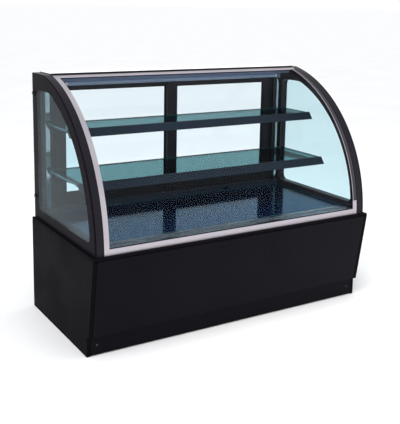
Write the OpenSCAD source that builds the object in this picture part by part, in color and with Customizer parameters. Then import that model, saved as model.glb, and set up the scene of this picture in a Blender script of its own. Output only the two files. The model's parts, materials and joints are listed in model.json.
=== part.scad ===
// Refrigerated display showcase: a dark base cabinet that holds the cooling unit, and on it
// a glazed canopy with a curved front glass, two glass shelves and two sliding rear doors.
// Millimetres. +X runs along the counter, -Y faces the customer, +Z is up.
// The origin is on the floor, under the middle of the cabinet.

/* [Overall] */
// Length of the base cabinet along X
width = 1500; // [1400:50:1600]
// Depth of the base cabinet, from customer side to rear
depth = 730; // [720:5:740]
// Height from the floor to the top panel
height = 1155; // [1150:1:1158]

/* [Base cabinet] */
// Height of the base cabinet
base_h = 453; // [450:1:456]
// Height of the kick plate
kick_h = 90; // [80:5:95]
// How far the kick plate stands back from the front edge of the base
kick_setback = 75; // [70:1:80]
// How far the foot of the sloping front panel stands back
panel_setback = 55; // [50:1:60]
// Thickness of the side and front panels
panel_t = 18; // [16:1:18]
// Thickness of the top frame of the base
cap_t = 12; // [10:1:14]
// Square tube of the welded base frame
tube = 30; // [28:1:30]
// Wall of the square tube
tube_wall = 2; // [1.5:0.5:3]

/* [Canopy] */
// Ledge of the base left of and right of the canopy
side_ledge = 15; // [10:1:20]
// Radius of the curved front
arc_r = 720; // [718:1:722]
// Thickness of the side glass
side_glass_t = 8; // [6:1:8]
// Width of the side frames along X
frame_w = 31; // [28:1:32]
// Width of the black rim round the side opening
rim = 50; // [45:1:55]
// Width of the bright trim strips beside the front glass
trim_w = 24; // [20:1:28]
// Thickness of the front glass
front_glass_t = 8; // [6:1:8]
// Thickness of the top panel
top_t = 5; // [4:1:6]

/* [Rear doors] */
// Thickness of a door frame
door_t = 14; // [14:1:14]
// Width of the two middle stiles, which overlap each other
mid_stile = 54; // [50:2:58]
// Width of the outer stiles
end_stile = 50; // [46:1:54]
// How far a door slides
door_travel = 600; // [400:10:600]

/* [Shelves and deck] */
// Height of the upper shelf's top face
upper_shelf_z = 918; // [900:1:930]
// Distance of the upper shelf's glass edge from the rear
upper_shelf_d = 312; // [290:1:330]
// Height of the lower shelf's top face
lower_shelf_z = 694; // [680:1:710]
// Distance of the lower shelf's glass edge from the rear
lower_shelf_d = 424; // [400:1:440]
// Thickness of the shelf glass
shelf_t = 8; // [6:1:8]
// Height of the deck's top face
deck_z = 478; // [476:1:482]

/* [Hidden] */
$fn = 96;
fit = 0.1;           // gap between pieces that are slipped together
reveal = 1;          // gap between neighbouring panels
run = 1;             // gap on each side of a sliding door
half_w = width / 2;
rear_y = depth / 2;
front_y = -depth / 2;
left = -1;
right = 1;

// Base cabinet
cap_z = base_h - cap_t;              // underside of the top frame
panel_x = half_w - panel_t;          // inner face of a side panel
tube_x = panel_x - 2;                // outer face of the base frame
rail_x = tube_x - tube;              // inner face of the base frame's side rails
kick_y = front_y + kick_setback;
foot_y = front_y + panel_setback;
frame_rear_y = rear_y - 35;          // rear face of the base frame
frame_front_y = kick_y + 25;         // front face of the two front posts
low_rail_z = 40;
mid_rail_z = 250;
pan_z = low_rail_z + tube;           // upper face of the floor pan
pan_t = 4;
bearers_y = [-110, 120];             // front faces of the two cross bearers
feet_y = [frame_front_y + tube / 2, frame_rear_y - tube / 2];
pad_r = 16;                          // levelling feet: pad, stem and lock nut
pad_h = 8;
stem_r = 6;
nut_r = 11;
nut_h = 8;
cap_open_x = half_w - 80;            // opening of the top frame over the well
cap_open_y = [front_y + 65, rear_y - 75];
kick_t = 6;
sheet_t = 2;                         // sheet metal
service_y = frame_rear_y + sheet_t;  // outer face of the rear service panel
service_z = [12, cap_z - 5];
vents_x = [-380, -220, 130, 290, 450]; // left ends of the vent slots
vent_len = 140;
vent_h = 8;
vent_z = 90;
vent_pitch = 18;
vent_rows = 8;
screw_x = tube_x - tube / 2;
screw_rows = [55, 150, 340, 425];    // heights of the screws of the service panel
kick_screw_x = 703;
kick_screw_z = 47;

// Cooling unit
tub_x = 685;
tub_y = [-300, 295];
tub_z = [mid_rail_z + tube, cap_z];
tub_wall = 18;
coil_end_t = 2;                      // end plates of the fin packs
coil_lip = 3;                        // how far they stand out above and below the fins
coil_tube_r = 4;
evap_x = 560;
evap_y = [-160, -50];
motor_r = 26;
motor_len = 40;
motor_nose = 1;                      // how far the motor reaches through its plate
arm_w = 10;                          // arms that carry a motor
arm_t = 3;
arm_reach = 9;                       // how far the arms run past the blades
shaft_r = 3;
bore_r = 3.05;                       // running fit on the fan shafts
shaft_len = 21;
hub_r = 18;
hub_len = 16;
blade_t = 2;
blade_w = 32;
blade_pitch = 28;
rotor_gap = 3;                       // from the fan plate to the hub
evap_fan_r = 56;
evap_fan_x = 300;
evap_fan_z = 369;
evap_plate_y = 170;
fan_plate_x = tub_x - tub_wall - 5;
fan_clear = 5;                       // gap round the tips of the blades
cond_fan_r = 66;
cond_x = [150, 490];
cond_z = [pan_z + 6, pan_z + 166];
cond_y = [270, 318];
shroud_y = 236;
cond_fan_x = (cond_x[0] + cond_x[1]) / 2;
cond_fan_z = (cond_z[0] + cond_z[1]) / 2;
comp_x = -120;
comp_y = 20;
comp_r = 76;
comp_h = 150;
grommet_r = 11;
grommet_h = 10;
line_r = 5;
line_inset = 20;                     // from the condenser's lower and upper edge to its two lines
tray_x = [-600, -380];
tray_y = [-180, 160];
tray_h = 40;

// Controls on the service panel
plate_x = [-694, -446];
plate_z = [174, 252];
plate_lap = 6;                       // how far the plate covers the sheet round its cut-out
plate_y = service_y + sheet_t;       // outer face of the control plate
bezel_y = plate_y + 6;               // outer face of the controller
controller_x = -610;
controller_z = 213;
button_r = 4;
button_pitch = 20;
button_z = controller_z - 9;
button_out = 2;                      // how far a button stands out
button_len = 3;                      // how far it reaches into its hole
button_hole = 4.5;                   // deep enough for its stroke of 1 mm
switch_x = -502;
switch_z = controller_z;
switch_pitch = 26;
switch_y = plate_y + 3;              // outer face of the switch housing
rocker_w = 17;
rocker_h = 23;
rocker_tilt = 7;
rocker_y = switch_y - 1.5;           // axis of the rockers
pin_r = 1.5;
gland_x = -660;
gland_z = 110;
gland_body_r = 9.8;
gland_bore_r = 4.5;

// Canopy
canopy_x = half_w - side_ledge;
pane_x = canopy_x - side_glass_t;    // inner face of the side glass
frame_x = pane_x - frame_w;          // inner face of the side frame
seal_w = 3;
seal_x = frame_x - seal_w;           // end of the front glass
trim_x = seal_x - trim_w;            // inner edge of the bright strips
canopy_top = height - top_t;
arc_y = rear_y + 7;                  // axis of the curved front
arc_z = base_h - 9;
glass_r = arc_r - 6;                 // outer face of the front glass
trim_in_r = glass_r + 0.5;
trim_r = arc_r - 1;
open_r = arc_r - rim;
open_y = rear_y - 60;
open_z = [base_h + rim - 3, canopy_top - 74];
trim_h = 27;
seal_lip = 8;                        // how far a seal reaches behind the front glass
seal_bead = 1.5;                     // height of the beads beside the bright strips
foot_d = 300;                        // a distance from the rear that takes in the foot of the curve
corner_h = 69;                       // height of the bottom trim's two upstands
top_panel_d = 138;                   // front edge of the top panel, from the rear
top_trim_d = [144.5, 175];
glass_top_d = 165;                   // upper edge of the front glass, from the rear
knob_d = 20;
knobs_z = [base_h + 107, canopy_top - 95];
knob_r = 10;
shank_r = 5;
shank_in = side_glass_t + 11;        // from the outside of the glass into the frame
knob_h = 6;
dome_r = 13;
washer_t = 2;

// Rear doors and their surround
surround_d = 45;
header_z = 1100;
sill_z = 500;
post_x = 632;                        // inner face of a rear post
post_wall = 4;
groove_w = door_t + 2 * run;
outer_groove_d = 5;
inner_groove_d = 24;
header_groove = 14;
sill_groove = 8;
door_z = [sill_z - 4, header_z + 10];
pane_z = [554, 1063];
door_pane_t = 5;
pane_bite = 6;                       // how far a pane sits in its frame
pull_z = [740, 860];
pull_w = 20;
pull_depth = 7;
shoe_len = 60;
shoe_inset = 30;
shoe_gap = 0.3;

// Shelves, deck and light
shelf_x = 690;
shelf_rear_d = 80;
upright_x = 640;
upright_w = 24;
upright_d = 12;
bracket_t = 4;
bracket_x = upright_x + (upright_w - bracket_t) / 2;
rail_run = 27;                       // how far the rail's foot stands forward
rail_drop = 36;
rail_t = 4;
deck_x = 684;
deck_skin = 3;
deck_d = [62, 618];
grille_d = [620, 690];
slot_d = 634;                        // rear ends of the slots
slot_margin = 20;
slot_w = 12;
slot_len = 30;
slot_pitch = 22;
light_d = [60, 150];
light_x = 675;
light_z = 1118;
socket = 16;                         // size of the lamp sockets
lamp_r = 12;
lamp_x = 620;
lamp_d = 105;
lamp_z = light_z - 14;

// ---- helpers ----

// Y of a point at distance d in front of the rear plane
function from_rear(d) = rear_y - d;
// Y range between two distances from the rear
function rear_range(d0, d1) = [from_rear(d1), from_rear(d0)];
// Height of the curved front's surface of radius r, at distance d from the rear
function arc_height(r, d) = arc_z + sqrt(r * r - pow(arc_y - from_rear(d), 2));
// A range made shorter by a at both ends
function narrower(range, a) = [range[0] + a, range[1] - a];
// An X range on the left or on the right side
function on_side(side, a, b) = side > 0 ? [a, b] : [-b, -a];

// Box between two corners, given as ranges along X, Y and Z
module block(x, y, z)
    translate([x[0], y[0], z[0]]) cube([x[1] - x[0], y[1] - y[0], z[1] - z[0]]);

// Solid with a profile drawn in Y and Z, from x[0] to x[1]
module along_x(x)
    translate([x[0], 0, 0]) rotate([90, 0, 90]) linear_extrude(x[1] - x[0]) children();

// Round bar or hole along X, and along Y
module rod_x(x, y, z, r) translate([x[0], y, z]) rotate([0, 90, 0]) cylinder(r = r, h = x[1] - x[0]);
module rod_y(x, y, z, r) translate([x, y[0], z]) rotate([-90, 0, 0]) cylinder(r = r, h = y[1] - y[0]);

// Open square tube whose outer size is given as ranges; axis 0, 1 or 2 is its direction
module box_tube(x, y, z, axis) {
    w = tube_wall;
    wx = axis == 0 ? -1 : w;
    wy = axis == 1 ? -1 : w;
    wz = axis == 2 ? -1 : w;
    difference() {
        block(x, y, z);
        block([x[0] + wx, x[1] - wx], [y[0] + wy, y[1] - wy], [z[0] + wz, z[1] - wz]);
    }
}

// Rounds one corner of a profile: c is the centre, a and b are the two tangent points
module corner_cut(c, a, b) polygon([c, a, a + (a - c), b + (b - c), b]);

// ---- base cabinet ----

module base_frame() color("dimgray") {
    lower = [low_rail_z, low_rail_z + tube];
    middle = [mid_rail_z, mid_rail_z + tube];
    upper = [cap_z - tube, cap_z];
    top_front_y = front_y + 30;
    for (side = [left, right]) {
        x = on_side(side, rail_x, tube_x);
        box_tube(x, [frame_front_y, frame_rear_y], lower, 1);
        box_tube(x, [frame_front_y + tube, frame_rear_y - tube], middle, 1);
        box_tube(x, [top_front_y, frame_rear_y], upper, 1);
        for (y = [frame_front_y, frame_rear_y - tube])
            box_tube(x, [y, y + tube], [lower[1], upper[0]], 2);
    }
    cross = [-rail_x, rail_x];
    for (y = [frame_front_y, frame_rear_y - tube]) box_tube(cross, [y, y + tube], lower, 0);
    for (y = [top_front_y, frame_rear_y - tube]) box_tube(cross, [y, y + tube], upper, 0);
    for (y = bearers_y) box_tube(cross, [y, y + tube], middle, 0);
}

// Sheet between the lower rails that carries the machine
module floor_pan() color("silver")
    block([-rail_x, rail_x], [frame_front_y + tube, frame_rear_y - tube], [pan_z - pan_t, pan_z]);

module levelling_feet() color("gray")
    for (x = [-screw_x, screw_x], y = feet_y) translate([x, y, 0]) {
        cylinder(r = pad_r, h = pad_h);
        translate([0, 0, pad_h]) cylinder(r1 = pad_r - 3, r2 = stem_r + 2, h = pad_h);
        translate([0, 0, 2 * pad_h]) cylinder(r = stem_r, h = low_rail_z - 2 * pad_h - nut_h);
        translate([0, 0, low_rail_z - nut_h]) cylinder(r = nut_r, h = nut_h, $fn = 6);
    }

module side_panel(side) color([0.16, 0.15, 0.17])
    along_x(on_side(side, panel_x, half_w))
        polygon([[rear_y, 0], [rear_y, cap_z], [front_y, cap_z], [foot_y, kick_h],
                 [kick_y, kick_h], [kick_y, 0]]);

module front_panel() color([0.10, 0.09, 0.12])
    along_x([-panel_x + reveal, panel_x - reveal])
        polygon([[front_y, cap_z - reveal], [foot_y, kick_h + reveal],
                 [foot_y + panel_t, kick_h + reveal], [front_y + panel_t, cap_z - reveal]]);

module kick_plate() color([0.08, 0.08, 0.09])
    block([-panel_x + reveal, panel_x - reveal], [kick_y, kick_y + kick_t], [4, kick_h - reveal]);

module base_cap() color([0.14, 0.13, 0.15])
    difference() {
        block([-half_w, half_w], [front_y, rear_y], [cap_z, base_h]);
        block([-cap_open_x, cap_open_x], cap_open_y, [cap_z - 1, base_h + 1]);
    }

// Rear sheet with rows of vent slots and a cut-out for the controls
module service_panel() color("darkslategray")
    difference() {
        block([-tube_x, tube_x], [frame_rear_y, service_y], service_z);
        for (x = vents_x, row = [0 : vent_rows - 1]) {
            z = vent_z + row * vent_pitch;
            block([x, x + vent_len], [frame_rear_y - 1, service_y + 1], [z, z + vent_h]);
        }
        block(narrower(plate_x, plate_lap), [frame_rear_y - 1, service_y + 1], narrower(plate_z, plate_lap));
        rod_y(gland_x, [frame_rear_y - 1, service_y + 1], gland_z, gland_body_r + 0.2);
    }

module screw_head(x, y, z, way)
    translate([x, y, z]) rotate([-90 * way, 0, 0]) {
        cylinder(r = 5, h = 1.2);
        translate([0, 0, 1.2]) cylinder(r1 = 5, r2 = 3, h = 1);
    }

module panel_screws() color("silver") {
    for (x = [-kick_screw_x, kick_screw_x]) screw_head(x, kick_y, kick_screw_z, -1);
    for (x = [-screw_x, screw_x], z = screw_rows) screw_head(x, service_y, z, 1);
    for (x = [-300, 0, 300]) screw_head(x, service_y, screw_rows[3], 1);
}

// ---- cooling unit ----

module well_floor() color("gainsboro")
    block([-tub_x, tub_x], tub_y, [tub_z[0], tub_z[0] + tub_wall]);

module well_walls() color("gainsboro")
    difference() {
        block([-tub_x, tub_x], tub_y, [tub_z[0] + tub_wall, tub_z[1]]);
        block([-tub_x + tub_wall, tub_x - tub_wall], tub_y + [tub_wall, -tub_wall],
              [tub_z[0] + tub_wall - 1, tub_z[1] + 1]);
    }

// Fin block with two end plates and the return bends of its tubes
module finned_coil(x, y, z, rows, cols) {
    pitch_z = (z[1] - z[0]) / rows;
    pitch_y = (y[1] - y[0]) / cols;
    block(narrower(x, coil_end_t), y, narrower(z, coil_lip));
    for (end = [x[0], x[1] - coil_end_t])
        block([end, end + coil_end_t], narrower(y, -coil_end_t), z);
    for (r = [0 : rows - 2], c = [0 : cols - 1])
        translate([x[0], y[0] + (c + 0.5) * pitch_y, z[0] + (r + 1) * pitch_z])
            rotate([0, -90, 0]) rotate([90, 0, 0]) rotate_extrude(angle = 180)
                translate([pitch_z / 2 - coil_tube_r - 0.2, 0]) circle(r = coil_tube_r);
}

module evaporator_coil() color("lightsteelblue")
    finned_coil([-evap_x, evap_x], evap_y, [tub_z[0] + tub_wall + 8, tub_z[1] - 16], 2, 3);

module condenser_coil() color("slategray")
    finned_coil(cond_x, cond_y, cond_z, 2, 1);

module evaporator_fan_plate() color("silver")
    difference() {
        block([-fan_plate_x, fan_plate_x], [evap_plate_y, evap_plate_y + sheet_t],
              [tub_z[0] + tub_wall, tub_z[1] - 4]);
        for (x = [-evap_fan_x, evap_fan_x])
            rod_y(x, [evap_plate_y - 1, evap_plate_y + 3], evap_fan_z, evap_fan_r + fan_clear);
    }

// Motor on the -Y side of a plate whose face is at y, with three arms and its shaft
module fan_motor(x, y, z, reach) {
    rod_y(x, [y - motor_len, y + motor_nose], z, motor_r);
    rod_y(x, [y, y + shaft_len], z, shaft_r);
    for (a = [90, 210, 330])
        translate([x, y - arm_t, z]) rotate([0, a, 0]) translate([motor_r / 2, 0, -arm_w / 2])
            cube([reach - motor_r / 2, arm_t, arm_w]);
}

module fan_motors() color("dimgray") {
    for (x = [-evap_fan_x, evap_fan_x]) fan_motor(x, evap_plate_y, evap_fan_z, evap_fan_r + arm_reach);
    fan_motor(cond_fan_x, shroud_y, cond_fan_z, cond_fan_r + arm_reach);
}

// Rotor that turns on a motor shaft along Y, with five pitched blades
module fan_rotor(x, y, z, tip_r) {
    difference() {
        union() {
            rod_y(x, [y, y + hub_len], z, hub_r);
            intersection() {
                rod_y(x, [y, y + hub_len], z, tip_r);
                for (i = [0 : 4])
                    translate([x, y + hub_len / 2, z]) rotate([0, i * 72, 0])
                        rotate([blade_pitch, 0, 0]) translate([hub_r - 4, -blade_t / 2, -blade_w / 2])
                            cube([tip_r - hub_r + 8, blade_t, blade_w]);
            }
        }
        rod_y(x, [y - 1, y + hub_len + 1], z, bore_r);
    }
}

module evaporator_fan(side) color("black")
    fan_rotor(side * evap_fan_x, evap_plate_y + rotor_gap, evap_fan_z, evap_fan_r);

module condenser_fan() color("black")
    fan_rotor(cond_fan_x, shroud_y + rotor_gap, cond_fan_z, cond_fan_r);

module condenser_shroud() color("gray")
    difference() {
        block(cond_x, [shroud_y, cond_y[0] - 2], cond_z);
        block(narrower(cond_x, sheet_t), [shroud_y + sheet_t, cond_y[0] - 1], narrower(cond_z, sheet_t));
        rod_y(cond_fan_x, [shroud_y - 1, shroud_y + 3], cond_fan_z, cond_fan_r + fan_clear);
    }

// Hermetic compressor on its foot plate, four grommets and a terminal box
module compressor() color("black") {
    foot_z = pan_z + grommet_h;
    can_z = foot_z + 4;
    terminal_y = comp_y + comp_r;
    for (dx = [-75, 75], dy = [-50, 50])
        translate([comp_x + dx, comp_y + dy, pan_z]) cylinder(r = grommet_r, h = grommet_h);
    block([comp_x - 95, comp_x + 95], [comp_y - 65, comp_y + 65], [foot_z, can_z]);
    translate([comp_x, comp_y, can_z]) intersection() {
        cylinder(r = comp_r, h = comp_h);
        sphere(r = comp_h);
    }
    block([comp_x - 25, comp_x + 25], [terminal_y - 8, terminal_y + 20], [can_z + 40, can_z + 90]);
}

// Pipe through a list of points, with ball elbows
module pipe(points) {
    for (i = [0 : len(points) - 2]) {
        a = points[i];
        v = points[i + 1] - a;
        translate(a) rotate([0, acos(v[2] / norm(v)), atan2(v[1], v[0])])
            cylinder(r = line_r, h = norm(v));
    }
    for (i = [1 : len(points) - 2]) translate(points[i]) sphere(r = line_r);
}

module refrigerant_lines() color("chocolate") {
    can_right = comp_x + comp_r;
    can_left = comp_x - comp_r;
    coil_x = cond_x[0] - fit;
    coil_y = (cond_y[0] + cond_y[1]) / 2;
    hot_z = 150;
    suction = [-260, 180];
    liquid = [80, 60];
    high_z = cond_z[1] - line_inset;
    low_z = cond_z[0] + line_inset;
    pipe([[can_right, comp_y, hot_z], [100, comp_y, hot_z], [100, coil_y, hot_z],
          [100, coil_y, high_z], [coil_x, coil_y, high_z]]);
    pipe([[can_left, comp_y, suction[1]], [suction[0], comp_y, suction[1]],
          [suction[0], comp_y, tub_z[0]]]);
    pipe([[coil_x, coil_y, low_z], [liquid[0], coil_y, low_z], [liquid[0], liquid[1], low_z],
          [liquid[0], liquid[1], tub_z[0]]]);
}

module drip_tray() color("silver")
    difference() {
        block(tray_x, tray_y, [pan_z, pan_z + tray_h]);
        block(narrower(tray_x, sheet_t), narrower(tray_y, sheet_t), [pan_z + sheet_t, pan_z + tray_h + 1]);
    }

// ---- controls ----

module control_plate() color("black")
    difference() {
        block(plate_x, [service_y, plate_y], plate_z);
        block([controller_x - 36, controller_x + 36], [service_y - 1, plate_y + 1],
              [controller_z - 15, controller_z + 15]);
        block([switch_x - 27, switch_x + 27], [service_y - 1, plate_y + 1],
              [switch_z - 14, switch_z + 14]);
    }

module controller_body() color([0.12, 0.12, 0.13])
    difference() {
        union() {
            block([controller_x - 40, controller_x + 40], [plate_y, bezel_y],
                  [controller_z - 19, controller_z + 19]);
            block([controller_x - 35, controller_x + 35], [plate_y - 55, plate_y],
                  [controller_z - 14, controller_z + 14]);
        }
        for (i = [-1 : 1])
            rod_y(controller_x + i * button_pitch, [bezel_y - button_hole, bezel_y + 1], button_z,
                  button_r + fit);
    }

module button(i) color("gainsboro")
    rod_y(controller_x + i * button_pitch, [bezel_y - button_len, bezel_y + button_out],
          button_z, button_r);

module switch_housing() color("black")
    difference() {
        union() {
            block([switch_x - 31, switch_x + 31], [plate_y, switch_y], [switch_z - 17, switch_z + 17]);
            block([switch_x - 26, switch_x + 26], [plate_y - 22, plate_y], [switch_z - 13, switch_z + 13]);
        }
        for (i = [-0.5, 0.5]) {
            x = switch_x + i * switch_pitch;
            block([x - rocker_w / 2 - 0.5, x + rocker_w / 2 + 0.5], [plate_y - 12, switch_y + 1],
                  [switch_z - 12.4, switch_z + 12.4]);
            rod_x([x - rocker_w / 2 - 2.5, x + rocker_w / 2 + 2.5], rocker_y, switch_z, pin_r + 0.06);
        }
    }

// Rocker on two pins, stored tilted one way
module rocker(i) {
    x = switch_x + i * switch_pitch;
    translate([x, rocker_y, switch_z]) rotate([-rocker_tilt, 0, 0]) {
        along_x([-rocker_w / 2, rocker_w / 2])
            polygon([[-5, -rocker_h / 2 + 2], [-5, rocker_h / 2 - 2], [4, rocker_h / 2],
                     [2.5, 0], [4, -rocker_h / 2]]);
        rod_x([-rocker_w / 2 - 2, rocker_w / 2 + 2], 0, 0, pin_r);
    }
}

module power_rocker() color("firebrick") rocker(-0.5);
module light_rocker() color("darkslategray") rocker(0.5);

module cable_gland() color([0.1, 0.1, 0.1])
    difference() {
        union() {
            rod_y(gland_x, [service_y - 22, service_y], gland_z, gland_body_r);
            translate([gland_x, service_y, gland_z]) rotate([-90, 0, 0]) cylinder(r = 14, h = 6, $fn = 6);
            rod_y(gland_x, [service_y + 6, service_y + 16], gland_z, 9);
        }
        rod_y(gland_x, [service_y - 23, service_y + 17], gland_z, gland_bore_r);
    }

// ---- canopy frame and glass ----

// Outline of the canopy's side: a quarter round with a flat top, out to radius r
module canopy_outline(r)
    intersection() {
        translate([arc_y, arc_z]) circle(r = r, $fn = 360);
        translate([arc_y - r, base_h]) square([rear_y - arc_y + r, canopy_top - base_h]);
    }

// Band of the curved front between two radii, in front of distance d and between two heights
module front_band(r_out, r_in, d, z)
    intersection() {
        difference() {
            translate([arc_y, arc_z]) circle(r = r_out, $fn = 360);
            translate([arc_y, arc_z]) circle(r = r_in, $fn = 360);
        }
        translate([arc_y - r_out - 1, z[0]])
            square([from_rear(d) - arc_y + r_out + 1, z[1] - z[0]]);
    }

// Opening of the side frame, with round corners
module side_opening() {
    centre = [arc_y, arc_z];
    // centre of a round of radius r that touches the arc and a level line at height z
    function round_centre(r, z) = [arc_y - sqrt(pow(open_r - r, 2) - pow(z - arc_z, 2)), z];
    function on_arc(c) = centre + (c - centre) * open_r / norm(c - centre);
    r_rear = 30;
    r_front = 24;
    r_top = 110;
    low_rear = [open_y - r_rear, open_z[0] + r_rear];
    top_rear = [open_y - r_rear, open_z[1] - r_rear];
    low_front = round_centre(r_front, open_z[0] + r_front);
    top_front = round_centre(r_top, open_z[1] - r_top);
    difference() {
        intersection() {
            translate(centre) circle(r = open_r, $fn = 360);
            translate([arc_y - open_r, open_z[0]])
                square([open_y - arc_y + open_r, open_z[1] - open_z[0]]);
        }
        corner_cut(low_rear, low_rear + [r_rear, 0], low_rear + [0, -r_rear]);
        corner_cut(top_rear, top_rear + [r_rear, 0], top_rear + [0, r_rear]);
        corner_cut(low_front, low_front + [0, -r_front], on_arc(low_front));
        corner_cut(top_front, top_front + [0, r_top], on_arc(top_front));
    }
    for (c = [low_rear, top_rear]) translate(c) circle(r = r_rear);
    translate(low_front) circle(r = r_front);
    translate(top_front) circle(r = r_top);
}

module side_frame(side) color([0.2, 0.2, 0.22])
    difference() {
        along_x(on_side(side, frame_x, pane_x)) difference() {
            canopy_outline(arc_r);
            side_opening();
        }
        for (z = knobs_z)
            rod_x(on_side(side, canopy_x - shank_in - 1, pane_x + 1), from_rear(knob_d), z, shank_r + fit);
    }

module side_glass(side) color([0.7, 0.85, 0.88, 0.4])
    difference() {
        along_x(on_side(side, pane_x, canopy_x)) canopy_outline(arc_r);
        for (z = knobs_z)
            rod_x(on_side(side, pane_x - 1, canopy_x + 1), from_rear(knob_d), z, shank_r + fit);
    }

// Domed knobs that clamp the side glass to its frame
module side_knobs() color("silver")
    for (side = [left, right], z = knobs_z)
        translate([side * canopy_x, from_rear(knob_d), z]) rotate([0, 90 * side, 0]) {
            translate([0, 0, -shank_in]) cylinder(r = shank_r, h = shank_in + washer_t);
            translate([0, 0, washer_t]) cylinder(r = knob_r, h = knob_h / 2);
            translate([0, 0, washer_t + knob_h / 2]) intersection() {
                cylinder(r = knob_r, h = knob_h);
                translate([0, 0, knob_h / 2 - dome_r + 2]) sphere(r = dome_r);
            }
        }

module glass_seals() color([0.05, 0.05, 0.06]) {
    inner_r = glass_r - front_glass_t - seal_lip;
    top_rear = rear_range(0, top_trim_d[0]);
    for (side = [left, right]) {
        along_x(on_side(side, seal_x, frame_x))
            front_band(arc_r - 1, inner_r, glass_top_d, [base_h, canopy_top]);
        block(on_side(side, seal_x, frame_x), top_rear, [canopy_top - 20, canopy_top + 2]);
        for (z = knobs_z) difference() {
            rod_x(on_side(side, canopy_x, canopy_x + washer_t), from_rear(knob_d), z, knob_r + 2);
            rod_x(on_side(side, canopy_x - 1, canopy_x + washer_t + 1), from_rear(knob_d), z,
                  shank_r + fit);
        }
    }
    block([-seal_x, seal_x], rear_range(top_panel_d, top_trim_d[0] - 0.5), [canopy_top - 8, height]);
    along_x([-trim_x, trim_x]) intersection() {
        front_band(trim_in_r + seal_bead, trim_in_r, top_trim_d[1], [base_h, canopy_top]);
        translate([from_rear(top_trim_d[1] + 8), canopy_top - 30]) square([8, 30]);
    }
    along_x([-trim_x, trim_x])
        front_band(trim_in_r + seal_bead, trim_in_r, foot_d, [base_h + trim_h, base_h + trim_h + 4]);
}

module front_glass() color([0.75, 0.9, 0.92, 0.3])
    along_x([-seal_x + fit, seal_x - fit])
        front_band(glass_r, glass_r - front_glass_t, glass_top_d, [base_h, canopy_top]);

module side_trim(side) color("silver")
    along_x(on_side(side, trim_x, seal_x - fit))
        front_band(trim_r, trim_in_r, top_trim_d[1] + 0.5, [base_h + corner_h + 0.5, canopy_top]);

module trim_bottom() color("gainsboro") {
    along_x([-seal_x + fit, seal_x - fit]) front_band(trim_r, trim_in_r, foot_d, [base_h, base_h + trim_h]);
    for (side = [left, right])
        along_x(on_side(side, trim_x, seal_x - fit))
            front_band(trim_r, trim_in_r, foot_d, [base_h + trim_h - 1, base_h + corner_h]);
}

// Bright strip that clamps the upper edge of the front glass
module trim_top() color("silver")
    along_x([-seal_x + fit, seal_x - fit])
        polygon([[from_rear(top_trim_d[0]), canopy_top],
                 [from_rear(top_trim_d[0] + 8), canopy_top],
                 [from_rear(top_trim_d[1]), arc_height(trim_in_r, top_trim_d[1]) + 4],
                 [from_rear(top_trim_d[1]), arc_height(trim_in_r, top_trim_d[1])],
                 [from_rear(glass_top_d + 2), arc_height(trim_in_r, glass_top_d + 2)],
                 [from_rear(top_trim_d[0]), canopy_top - 7]]);

module top_panel() color("whitesmoke")
    block([-seal_x, seal_x], rear_range(0, top_panel_d), [canopy_top, height]);

// ---- canopy light ----

module light_housing() color("lightgray") {
    block([-light_x, light_x], rear_range(light_d[0], light_d[1]), [light_z, canopy_top - 10]);
    for (side = [left, right])
        block(on_side(side, lamp_x, lamp_x + socket), rear_range(lamp_d - socket, lamp_d + socket),
              [lamp_z - socket + 1, light_z]);
}

module light_tube() color("white")
    rod_x([-lamp_x + fit, lamp_x - fit], from_rear(lamp_d), lamp_z, lamp_r);

// ---- rear surround and doors ----

module door_grooves(z)
    for (d = [outer_groove_d, inner_groove_d])
        block([-post_x, post_x], rear_range(d, d + groove_w), z);

module rear_header() color([0.2, 0.2, 0.22])
    difference() {
        block([-seal_x, seal_x], rear_range(0, surround_d), [header_z, canopy_top]);
        door_grooves([header_z - 1, header_z + header_groove]);
    }

module rear_sill() color([0.2, 0.2, 0.22])
    difference() {
        block([-seal_x, seal_x], rear_range(0, surround_d), [base_h, sill_z]);
        door_grooves([sill_z - sill_groove, sill_z + 1]);
    }

module rear_posts() color([0.2, 0.2, 0.22])
    for (side = [left, right]) difference() {
        block(on_side(side, post_x, seal_x), rear_range(0, surround_d), [sill_z, header_z]);
        block(on_side(side, post_x + post_wall, seal_x - post_wall),
              rear_range(post_wall, surround_d - post_wall), narrower([sill_z, header_z], post_wall));
    }

// The left door runs in the outer groove, the right door in the inner one
function door_d(side) = run + (side < 0 ? outer_groove_d : inner_groove_d);
function door_x(side) = on_side(side, -mid_stile / 2, post_x);
function door_pane_x(side) = on_side(side, mid_stile / 2, post_x - end_stile);

module door_frame(side) color([0.25, 0.25, 0.27]) {
    d = door_d(side);
    pane_d = d + (door_t - door_pane_t) / 2;
    pull_x = on_side(side, post_x - end_stile / 2 - pull_w / 2, post_x - end_stile / 2 + pull_w / 2);
    gap = 0.5;
    difference() {
        block(door_x(side) + (side < 0 ? [gap, 0] : [0, -gap]), rear_range(d, d + door_t), door_z);
        block(door_pane_x(side), rear_range(d - 1, d + door_t + 1), pane_z);
        block(door_pane_x(side) + [-pane_bite, pane_bite],
              rear_range(pane_d, pane_d + door_pane_t), pane_z + [-pane_bite, pane_bite]);
        block(pull_x, rear_range(d - 1, d + pull_depth), pull_z);
    }
}

module door_glass(side) color([0.85, 0.95, 0.97, 0.3]) {
    pane_d = door_d(side) + (door_t - door_pane_t) / 2;
    inset = pane_bite - fit;
    block(door_pane_x(side) + [-inset, inset],
          rear_range(pane_d + fit, pane_d + door_pane_t - fit), pane_z + [-inset, inset]);
}

// Nylon shoes that a door slides on
module door_shoes(side) color("white") {
    d = door_d(side) + 1;
    x = door_x(side);
    for (x0 = [x[0] + shoe_inset, x[1] - shoe_inset - shoe_len])
        block([x0, x0 + shoe_len], rear_range(d, d + door_t - 2),
              [sill_z - sill_groove + shoe_gap, door_z[0]]);
}

// ---- shelves and deck ----

module shelf_uprights() color("gray")
    for (side = [left, right])
        block(on_side(side, upright_x, upright_x + upright_w),
              rear_range(surround_d, surround_d + upright_d), [sill_z, header_z]);

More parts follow.
